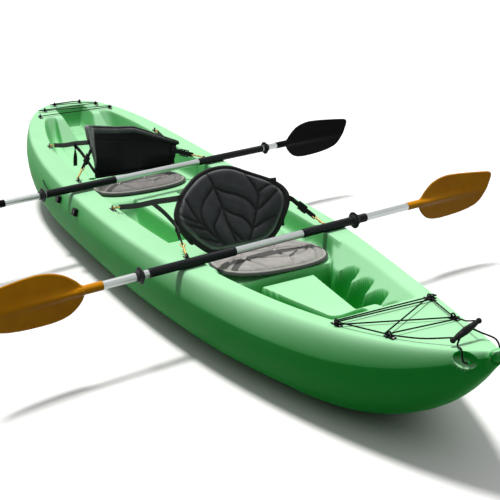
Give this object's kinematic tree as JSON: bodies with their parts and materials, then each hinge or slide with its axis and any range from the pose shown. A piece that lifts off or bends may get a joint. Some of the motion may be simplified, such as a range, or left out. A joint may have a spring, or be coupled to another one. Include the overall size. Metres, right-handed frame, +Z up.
{
  "type": "tandem kayak",
  "caption": "Sit-on-top tandem kayak: moulded hull with open footwells and stern trough, padded folding seats, laced deck cord, bow carry toggle and paddles laid across.",
  "frame": {"origin": "on the flat of the keel, amidships", "axes": "+X towards the bow, +Y to port, +Z up"},
  "size_m": [3.66, 2.2686, 0.5556],
  "materials": {
    "hull_green": "rotomoulded polyethylene, satin",
    "black_plastic": "moulded nylon",
    "rubber": "matt",
    "pad_grey": "woven over foam",
    "charcoal_foam": "moulded foam faced with cloth",
    "black_foam": "cloth over foam",
    "webbing": "woven polypropylene",
    "cord": "braided sheath",
    "brass": "worn",
    "steel": "plain",
    "aluminium": "anodised",
    "amber_plastic": "translucent moulding",
    "blade_black": "moulded"
  },
  "bodies": {
    "hull": {"hull_shell": "hull_green", "drain_gasket": "rubber", "front_seat_pad": "pad_grey", "rear_seat_pad": "pad_grey", "front_fore_strap_port": "webbing", "front_fore_strap_starboard": "webbing", "front_aft_strap_port": "webbing", "front_aft_strap_starboard": "webbing", "rear_fore_strap_port": "webbing", "rear_fore_strap_starboard": "webbing", "rear_aft_strap_port": "webbing", "rear_aft_strap_starboard": "webbing", "front_snap_hooks": "brass", "rear_snap_hooks": "brass", "front_strap_buckles": "black_plastic", "rear_strap_buckles": "black_plastic", "bow_pad_eyes": "black_plastic", "seat_pad_eyes": "black_plastic", "stern_pad_eyes": "black_plastic", "pad_eye_rivets": "steel", "bow_shock_cord": "cord", "stern_shock_cord": "cord", "keeper_brackets": "black_plastic", "keeper_screws": "steel", "keeper_cord_port": "cord", "keeper_cord_starboard": "cord"},
    "front_back": {"front_backrest": "charcoal_foam"},
    "rear_back": {"rear_backrest": "black_foam"},
    "toggle": {"bow_toggle": "black_plastic", "bow_toggle_rope": "cord"},
    "plug": {"drain_plug": "black_plastic"},
    "front_paddle": {"front_blade_port": "amber_plastic", "front_blade_starboard": "amber_plastic", "front_shaft_port": "aluminium", "front_shaft_starboard": "aluminium", "front_ferrule": "aluminium", "front_grips": "rubber", "front_drip_rings": "rubber", "front_button_spring": "steel"},
    "front_paddle_button": {"front_button": "steel"},
    "rear_paddle": {"rear_blade_port": "blade_black", "rear_blade_starboard": "blade_black", "rear_shaft_port": "aluminium", "rear_shaft_starboard": "aluminium", "rear_ferrule": "aluminium", "rear_grips": "rubber", "rear_drip_rings": "rubber", "rear_button_spring": "steel"},
    "rear_paddle_button": {"rear_button": "steel"}
  },
  "joints": [
    {"name": "front_backrest_fold", "type": "hinge", "parent": "hull", "child": "front_back", "pos_m": [0.355, 0, 0.235], "axis": [0, 1, 0], "range_deg": [-8, 55], "deforming": ["front_fore_strap_port", "front_fore_strap_starboard", "front_aft_strap_port", "front_aft_strap_starboard"]},
    {"name": "rear_backrest_fold", "type": "hinge", "parent": "hull", "child": "rear_back", "pos_m": [-0.771, 0, 0.263], "axis": [0, 1, 0], "range_deg": [-8, 35], "deforming": ["rear_fore_strap_port", "rear_fore_strap_starboard", "rear_aft_strap_port", "rear_aft_strap_starboard"]},
    {"name": "bow_toggle_swing", "type": "hinge", "parent": "hull", "child": "toggle", "pos_m": [1.768, 0, 0.34285], "axis": [0, 1, 0], "range_deg": [0, 90]},
    {"name": "drain_plug_draw", "type": "slide", "parent": "hull", "child": "plug", "axis": [0, 1, 0], "range_m": [0, 0.04]},
    {"name": "front_paddle_lift", "type": "slide", "parent": "hull", "child": "front_paddle", "axis": [0, 0, 1], "range_m": [0, 0.3]},
    {"name": "front_button_press", "type": "slide", "parent": "front_paddle", "child": "front_paddle_button", "axis": [-0.8799, -0.0731, -0.4695], "range_m": [0, 0.003], "stiffness_N_per_m": 400, "springref_m": -0.004, "deforming": ["front_button_spring"]},
    {"name": "rear_paddle_lift", "type": "slide", "parent": "hull", "child": "rear_paddle", "axis": [0, 0, 1], "range_m": [0, 0.3]},
    {"name": "rear_button_press", "type": "slide", "parent": "rear_paddle", "child": "rear_paddle_button", "axis": [-0.8762, -0.1091, -0.4695], "range_m": [0, 0.003], "stiffness_N_per_m": 400, "springref_m": -0.004, "deforming": ["rear_button_spring"]}
  ]
}
